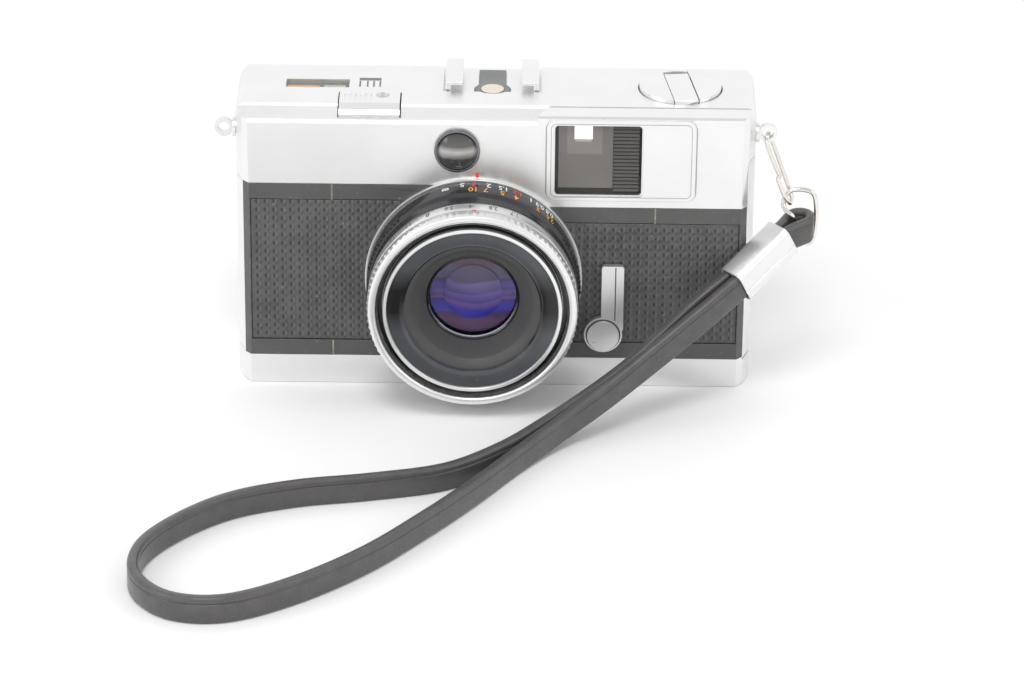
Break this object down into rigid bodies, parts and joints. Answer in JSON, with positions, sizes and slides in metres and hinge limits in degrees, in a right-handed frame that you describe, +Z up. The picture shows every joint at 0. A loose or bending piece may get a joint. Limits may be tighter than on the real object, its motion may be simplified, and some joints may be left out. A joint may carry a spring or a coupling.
{
  "type": "compact film camera",
  "caption": "Compact half frame film camera with a fixed lens, bright finder, thumbwheel film transport, hinged back and a wrist strap on a wire clip.",
  "frame": {"origin": "under the middle of the body, on the surface it stands on; the middle is that of the box of the camera without its strap", "axes": "+X to the right as seen from the front, the lens looks towards -Y, +Z up"},
  "size_m": [0.1473, 0.1421, 0.0685],
  "materials": {
    "satin_silver": "satin",
    "black_paint": "satin",
    "cast_black": "matte",
    "leatherette": "grained",
    "lens_black": "gloss",
    "satin_chrome": "satin",
    "coated_glass": "coated",
    "dark_glass": "tinted",
    "black_plastic": "moulded",
    "dial_plastic": "printed",
    "dark_chrome": "polished",
    "steel": "machined",
    "brass": "plated",
    "nickel": "polished",
    "foam": "foam",
    "strap_vinyl": "smooth"
  },
  "bodies": {
    "body": {"chassis": "cast_black", "chassis_plates": "cast_black", "front_plate": "black_paint", "end_trims": "black_paint", "leatherette_left": "leatherette", "leatherette_right": "leatherette", "side_plate_left": "satin_silver", "top_cover": "satin_silver", "bottom_cover": "satin_silver", "finder_frame": "satin_silver", "finder_window": "dark_glass", "finder_grille": "black_plastic", "finder_tube": "black_plastic", "finder_eyepiece": "black_plastic", "meter_bezel": "dark_chrome", "meter_dome": "dark_glass", "counter_window": "dark_glass", "accessory_shoe": "satin_silver", "shoe_insulator": "black_plastic", "shoe_contact": "brass", "strap_lugs": "satin_silver", "tripod_bush": "brass", "battery_holder": "black_plastic", "battery": "nickel", "base_screws": "steel", "light_seals": "foam", "hinge_pin": "steel", "lens_flange": "satin_silver", "shutter_housing": "cast_black", "release_spring": "steel", "strap_clip": "nickel", "strap_ring": "nickel", "strap_ferrule": "satin_chrome", "strap_tab": "strap_vinyl", "strap_loop": "strap_vinyl"},
    "release": {"release_button": "satin_silver"},
    "self_timer": {"self_timer_lever": "satin_silver", "self_timer_cap": "satin_silver"},
    "focus": {"focus_ring": "lens_black"},
    "lens": {"lens_cell": "cast_black", "front_ring": "satin_chrome", "name_ring": "lens_black", "front_cone": "cast_black", "front_element": "coated_glass", "aperture_blades": "steel"},
    "aperture": {"aperture_ring": "satin_chrome"},
    "rewind_post": {"rewind_collar": "steel"},
    "rewind_knob": {"rewind_disc": "satin_silver", "rewind_shaft": "steel", "crank_pin": "steel"},
    "crank": {"rewind_crank": "satin_silver"},
    "winder": {"thumbwheel": "black_plastic", "takeup_spool": "black_plastic"},
    "sprocket_drum": {"sprocket": "steel"},
    "counter": {"counter_dial": "dial_plastic"},
    "door": {"back_door": "satin_silver", "door_leatherette": "leatherette", "pressure_plate": "black_plastic"},
    "battery_lid": {"battery_cap": "steel"},
    "rewind_release": {"rewind_button": "steel"}
  },
  "joints": [
    {"name": "release_press", "type": "slide", "parent": "body", "child": "release", "axis": [0, 0, -1], "range_m": [0, 0.0015], "stiffness_N_per_m": 600, "springref_m": -0.0005, "deforming": ["release_spring"]},
    {"name": "self_timer_wind", "type": "hinge", "parent": "body", "child": "self_timer", "pos_m": [0.0246, -0.0085, 0.0136], "axis": [0, 1, 0], "range_deg": [0, 110]},
    {"name": "focus_turn", "type": "hinge", "parent": "body", "child": "focus", "pos_m": [-0.0047, -0.007, 0.0269], "axis": [0, -1, 0], "range_deg": [-15.6, 44.6]},
    {"name": "lens_extend", "type": "slide", "parent": "body", "child": "lens", "axis": [0, -1, 0], "range_m": [-0.00035, 0.00099]},
    {"name": "aperture_turn", "type": "hinge", "parent": "lens", "child": "aperture", "pos_m": [-0.0047, -0.007, 0.0269], "axis": [0, -1, 0], "range_deg": [-36, 36]},
    {"name": "rewind_lift", "type": "slide", "parent": "body", "child": "rewind_post", "axis": [0, 0, 1], "range_m": [0, 0.005]},
    {"name": "rewind_spin", "type": "hinge", "parent": "rewind_post", "child": "rewind_knob", "pos_m": [0.0412, 0.0096, 0.066], "axis": [0, 0, 1], "continuous": true},
    {"name": "crank_flip", "type": "hinge", "parent": "rewind_knob", "child": "crank", "pos_m": [0.04036, 0.01554, 0.0663], "axis": [-0.9903, -0.1392, 0], "range_deg": [0, 120]},
    {"name": "wind_on", "type": "hinge", "parent": "body", "child": "winder", "pos_m": [-0.04, 0.0105, 0.058], "axis": [0, 0, 1], "continuous": true},
    {"name": "sprocket_turn", "type": "hinge", "parent": "body", "child": "sprocket_drum", "pos_m": [-0.0261, 0.0125, 0.03], "axis": [0, 0, 1], "continuous": true},
    {"name": "counter_turn", "type": "hinge", "parent": "body", "child": "counter", "pos_m": [-0.04, 0.0128, 0.064], "axis": [0, 0, 1], "continuous": true},
    {"name": "door_open", "type": "hinge", "parent": "body", "child": "door", "pos_m": [-0.054, 0.0222, 0.03], "axis": [0, 0, 1], "range_deg": [0, 110]},
    {"name": "battery_lid_turn", "type": "hinge", "parent": "body", "child": "battery_lid", "pos_m": [0.017, 0.007, 0.001], "axis": [0, 0, 1], "range_deg": [0, 90]},
    {"name": "rewind_release_press", "type": "slide", "parent": "body", "child": "rewind_release", "axis": [0, 0, 1], "range_m": [0, 0.0015], "stiffness_N_per_m": 300, "springref_m": -0.0005}
  ],
  "couplings": [
    {"joint": "lens_extend", "follows": "focus_turn", "m_per_rad": 0.001265},
    {"joint": "sprocket_turn", "follows": "wind_on", "ratio": -1.25},
    {"joint": "counter_turn", "follows": "wind_on", "ratio": 0.02778}
  ]
}
